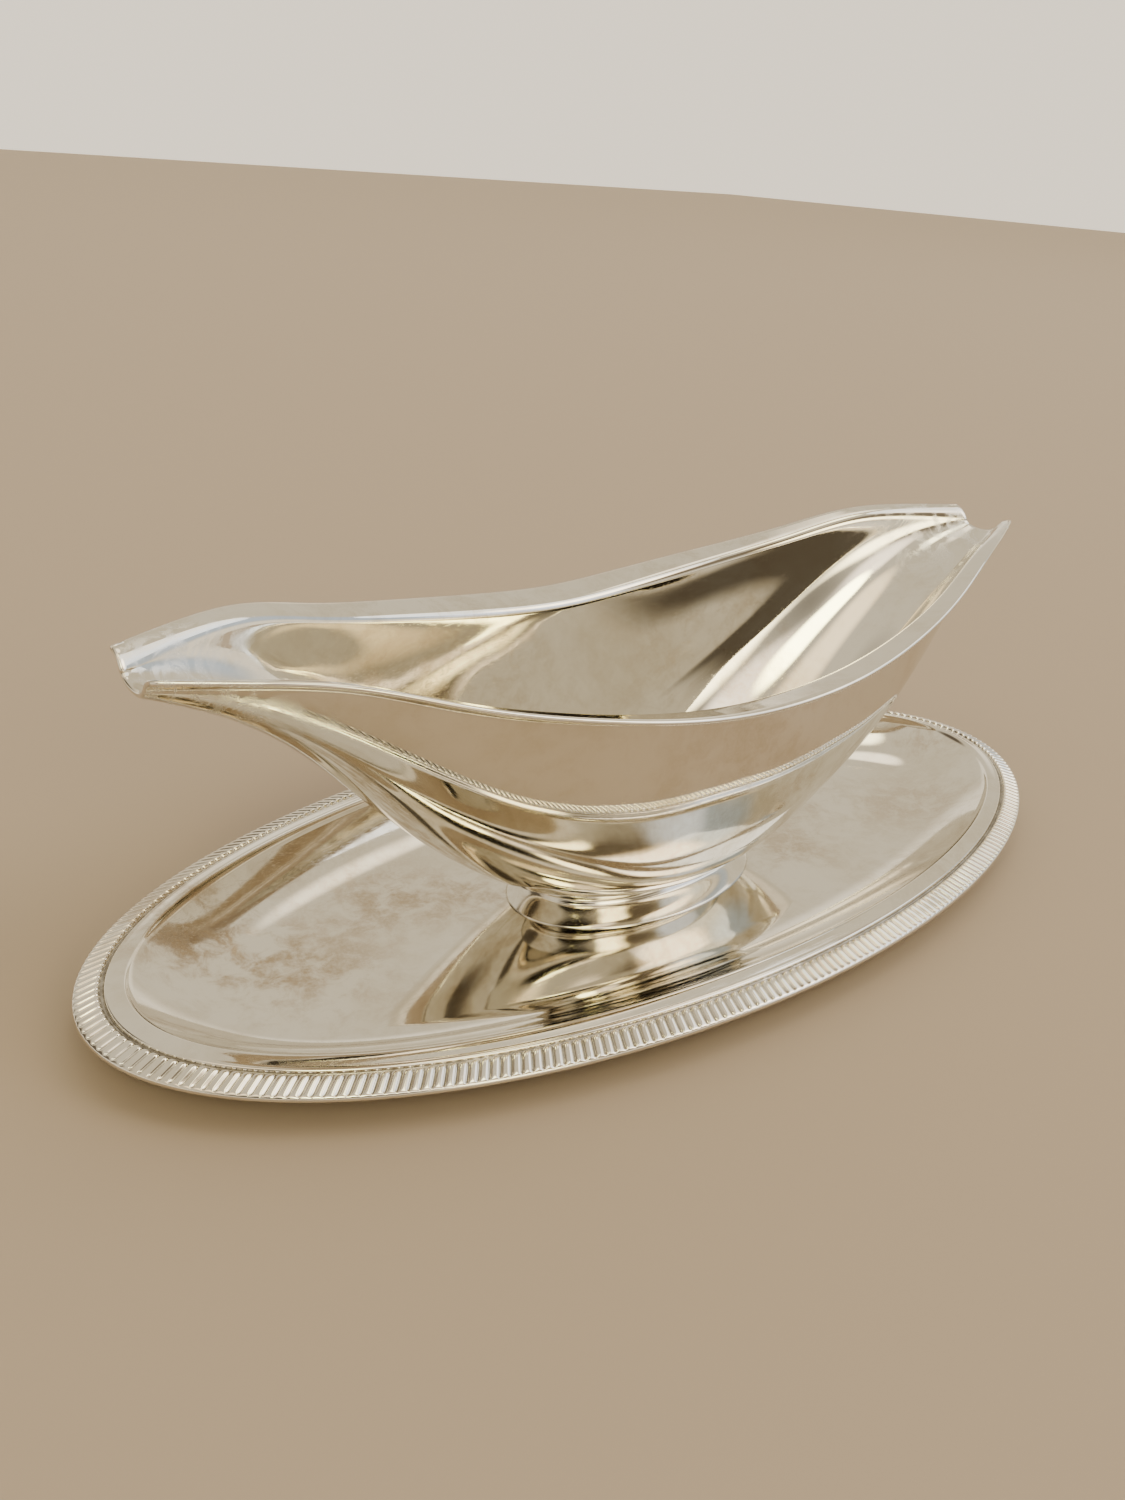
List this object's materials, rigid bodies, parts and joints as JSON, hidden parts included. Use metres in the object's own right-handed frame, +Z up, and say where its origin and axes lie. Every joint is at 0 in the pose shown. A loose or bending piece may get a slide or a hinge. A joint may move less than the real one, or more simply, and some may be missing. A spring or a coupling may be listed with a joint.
{
  "type": "sauce boat",
  "caption": "Double-ended sauce boat with a pouring spout at each end, standing on a low flared collar that is soldered to an oval under-tray with a reeded border.",
  "frame": {"origin": "middle of the tray's flat underside, on the table", "axes": "+X along the boat towards one spout, +Y across it, +Z up"},
  "size_m": [0.24, 0.114, 0.0708],
  "materials": {
    "boat_metal": "mirror polished, with water marks inside the spouts",
    "collar_metal": "polished",
    "tray_metal": "mirror polished, with brown cloudy tarnish and fine scratches",
    "solder": "dull grey"
  },
  "bodies": {
    "root": {"boat_body": "boat_metal", "foot_collar": "collar_metal", "under_tray": "tray_metal", "boat_to_collar_solder": "solder", "collar_to_tray_solder": "solder"}
  },
  "joints": []
}
